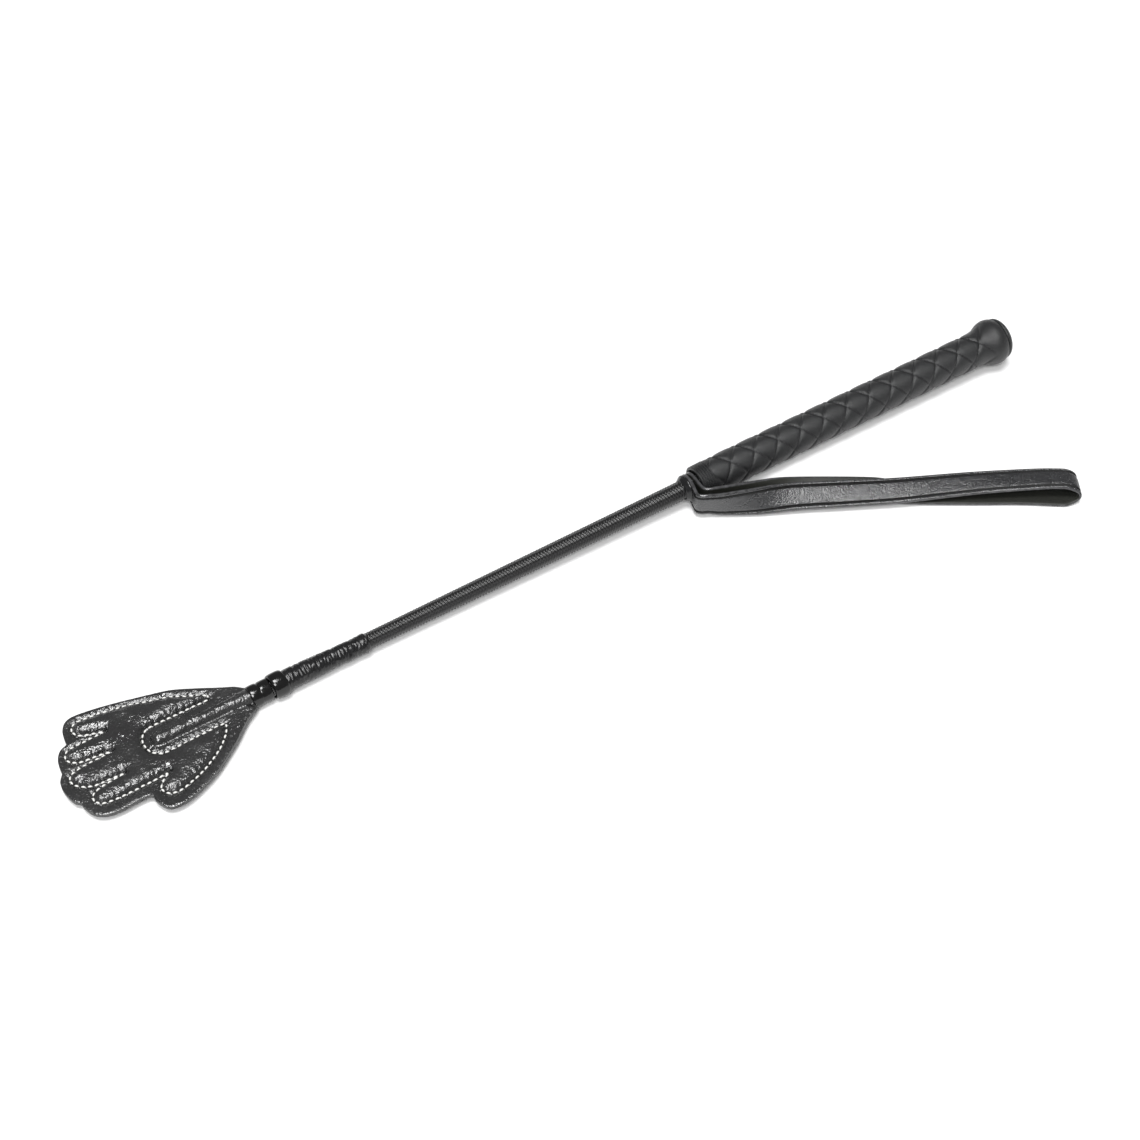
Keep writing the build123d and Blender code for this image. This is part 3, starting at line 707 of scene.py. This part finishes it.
def nearest(points, line):
    """Distance to a line of points, and the number of the nearest one."""
    tree = kdtree.KDTree(len(line))
    for k, (x, y) in enumerate(line):
        tree.insert((x, y, 0), k)
    tree.balance()
    found = [tree.find((x, y, 0)) for x, y in points]
    return np.array([f[2] for f in found]), np.array([f[1] for f in found])


def hand_outline():
    """Even points all round the hand and its tongue."""
    runs = [curve_through(run, MESH_STEP * 1.1)[:-1]
            for run in (THUMB_EDGE, INDEX_EDGE, MIDDLE_EDGE, RING_EDGE, LITTLE_EDGE, TONGUE)]
    return np.vstack(runs)


OUTLINE = hand_outline()
SEAM_LINE = curve_through(SEAM, STITCH_PITCH / 8, closed=True)
STITCHES = round(len(SEAM_LINE) / 8)


def smooth_max(a, b, blend):
    """Larger of two heights, with a soft hollow between them."""
    share = np.clip(0.5 + 0.5 * (a - b) / blend, 0, 1)
    return b * (1 - share) + a * share + blend * share * (1 - share)


def flap_height(points, side):
    """Height of the leather over the flap's middle plane."""
    x, y = points[:, 0], points[:, 1]
    to_seam, at = nearest(points, SEAM_LINE)
    to_edge, _ = nearest(points, OUTLINE)
    padded = inside(points, SEAM_LINE)
    phase = 2 * pi * at * STITCHES / len(SEAM_LINE)
    flat = np.stack([x, y, np.zeros(len(x))], axis=1)
    lumps = rough(flat, 7.0, 3 + side)
    crinkle = rough(flat, 2.4, 17 + side, 4)
    fine = rough(flat, 1.3, 41 + side, 2)
    wrist = np.clip((x + 24) / 24, 0, 1)
    # plate, rounded off at the cut edge and gathered under the lace at the wrist
    plate = PLATE_H * (1 - 0.85 * np.clip((x + 3) / 6, 0, 1)) - 0.25 * np.exp(-(to_edge / 0.4) ** 2)
    gathers = 0.35 * wrist * rough(flat * (0.35, 1, 1), 1.6, 29 + side) * np.clip(to_edge / 2, 0, 1)
    # foam behind the seam, softly crowned, with small pleats that start at the stitches
    lift = PUFF_H * (1 - np.exp(-(to_seam / 1.9) ** 1.4)) * (1 + 0.1 * lumps)
    pleats = 0.2 * np.cos(phase) * np.exp(-to_seam / 1.5) * (1 - np.exp(-to_seam / 0.5))
    puckers = (0.5 * crinkle + 0.3 * fine) * np.exp(-((to_seam - 1.7) / 1.4) ** 2) + 0.04 * fine
    valley = np.where(padded, -0.8 * np.exp(-(to_seam / 0.7) ** 2), -0.9 * np.exp(-(to_seam / 1.4) ** 1.4))
    valley = valley - 0.25 * np.cos(phase) * np.exp(-(to_seam / 0.6) ** 2)
    raised = np.where(padded, lift + pleats + puckers, pleats + 0.4 * puckers)
    height = plate + valley + gathers + raised + 0.1 * lumps
    # leather drawn over the rod
    half = RIDGE_HALF + 0.8 * np.clip((x + 12) / 12, 0, 1)
    share = 1 - ((y - RIDGE_Y) / half) ** 2 - (np.clip(RIDGE_END - x, 0, None) / RIDGE_HALF) ** 2
    ridge = RIDGE_H * np.sqrt(np.clip(share, 0, None)) + np.where(share > 0, 0.2 * crinkle + 0.2 * fine, -3)
    return smooth_max(ridge, height, 0.8)


def leather_sheet(name, side):
    """One leather of the hand as a fine sheet; side is 1 for the front and -1 for the back."""
    lattice_points = []
    low, high = OUTLINE.min(axis=0), OUTLINE.max(axis=0)
    row_step = MESH_STEP * 0.866
    for row in range(ceil((high[1] - low[1]) / row_step)):
        y = low[1] + row * row_step
        xs = np.arange(low[0] + (row % 2) * MESH_STEP / 2, high[0], MESH_STEP)
        lattice_points.append(np.stack([xs, np.full_like(xs, y)], axis=1))
    free = np.vstack(lattice_points)
    free = free[inside(free, OUTLINE)]
    to_edge, _ = nearest(free, OUTLINE)
    free = free[to_edge > MESH_STEP * 0.6]
    points = np.vstack([OUTLINE, free])
    border = list(range(len(OUTLINE)))
    vertices, _, triangles, *_ = delaunay_2d_cdt([Vector(p) for p in points], [], [border], 1, 1e-5)
    flat = np.array([tuple(v) for v in vertices])
    height = flap_height(flat, side)
    mesh = bpy.data.meshes.new(name)
    faces = [f if side > 0 else f[::-1] for f in triangles]
    mesh.from_pydata([(x, y, side * z) for (x, y), z in zip(flat, height)], [], faces)
    to_seam = nearest(flat, SEAM_LINE)[0]
    over_rod = np.clip(5 - np.abs(flat[:, 1] - RIDGE_Y), 0, 1) * np.clip(flat[:, 0] - RIDGE_END + 5, 0, 1)
    gather = np.maximum(np.exp(-((to_seam - 1.3) / 1.6) ** 2), 0.5 * over_rod)
    # seam: painted shade, strongest on the stitch line and gone about a millimetre away; gather: how strongly
    # the folds are bumped
    for label, values in (("seam", np.exp(-(to_seam / 0.9) ** 2)), ("gather", gather)):
        mesh.attributes.new(label, "FLOAT", "POINT").data.foreach_set("value", values)
    obj = bpy.data.objects.new(name, mesh)
    bpy.context.scene.collection.objects.link(obj)
    return obj


def leather(name, side, *nodes):
    """Front or back of the hand: a padded sheet, given its thickness and its cut edge."""
    sheet = leather_sheet(name, side)
    apply_modifier(sheet, "SOLIDIFY", thickness=LEATHER_T, offset=-1, use_rim=True, material_offset_rim=1,
                   use_even_offset=False)
    sheet.data.transform(CROP)
    smooth(sheet, 55)
    dress(sheet, FLAP, CUT_EDGE)
    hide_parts(*nodes)
    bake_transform(sheet)


def stitches(name, side, *nodes):
    """Single stitches of thick waxed thread, each arched between its two holes."""
    deselect()
    bpy.ops.mesh.primitive_uv_sphere_add(segments=8, ring_count=6, radius=1, rotation=(0, pi / 2, 0))
    pattern = bpy.context.object
    bpy.ops.object.transform_apply(location=False, rotation=True, scale=False)
    shape = points_of(pattern)
    shape[:, 2] -= 0.55 * shape[:, 0] ** 2 - 0.3
    faces = [tuple(p.vertices) for p in pattern.data.polygons]
    bpy.data.objects.remove(pattern)
    step = len(SEAM_LINE) / STITCHES
    holes = [SEAM_LINE[int(k * step) % len(SEAM_LINE)] for k in range(STITCHES + 1)]
    middles = np.array([(a + b) / 2 for a, b in zip(holes, holes[1:])])
    heights = flap_height(middles, side)
    all_points, all_faces = [], []
    for k in range(STITCHES):
        run = holes[k + 1] - holes[k]
        length = hypot(*run)
        along, across = run / length, np.array((-run[1], run[0])) / length
        half = length * STITCH_REACH
        plan = shape[:, :1] * along * half + shape[:, 1:2] * across * STITCH_HALF_WIDTH + middles[k]
        z = side * (heights[k] + STITCH_LIFT + shape[:, 2:] * STITCH_HALF_HEIGHT)
        all_faces += [[v + len(shape) * k for v in face[::side]] for face in faces]
        all_points.append(np.hstack([plan, z]))
    mesh = bpy.data.meshes.new(name)
    mesh.from_pydata(np.vstack(all_points).tolist(), [], all_faces)
    thread = bpy.data.objects.new(name, mesh)
    bpy.context.scene.collection.objects.link(thread)
    thread.data.transform(CROP)
    smooth(thread)
    dress(thread, THREAD)
    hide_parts(*nodes)
    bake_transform(thread)


leather("front_leather", 1, "palm_front_leather", "fingers_front_leather")
leather("back_leather", -1, "palm_back_leather", "fingers_back_leather")
stitches("front_stitches", 1, "palm_front_thread", "fingers_front_thread")
stitches("back_stitches", -1, "palm_back_thread", "fingers_back_thread")

# ------------------------------------------------------------------ inner pieces
for node, material in INSIDE.items():
    dress(frame["nodes"][node], material)
for node in ("palm_padding", "index_padding", "middle_padding", "ring_padding", "little_padding"):
    dress(frame["nodes"][node], FOAM)
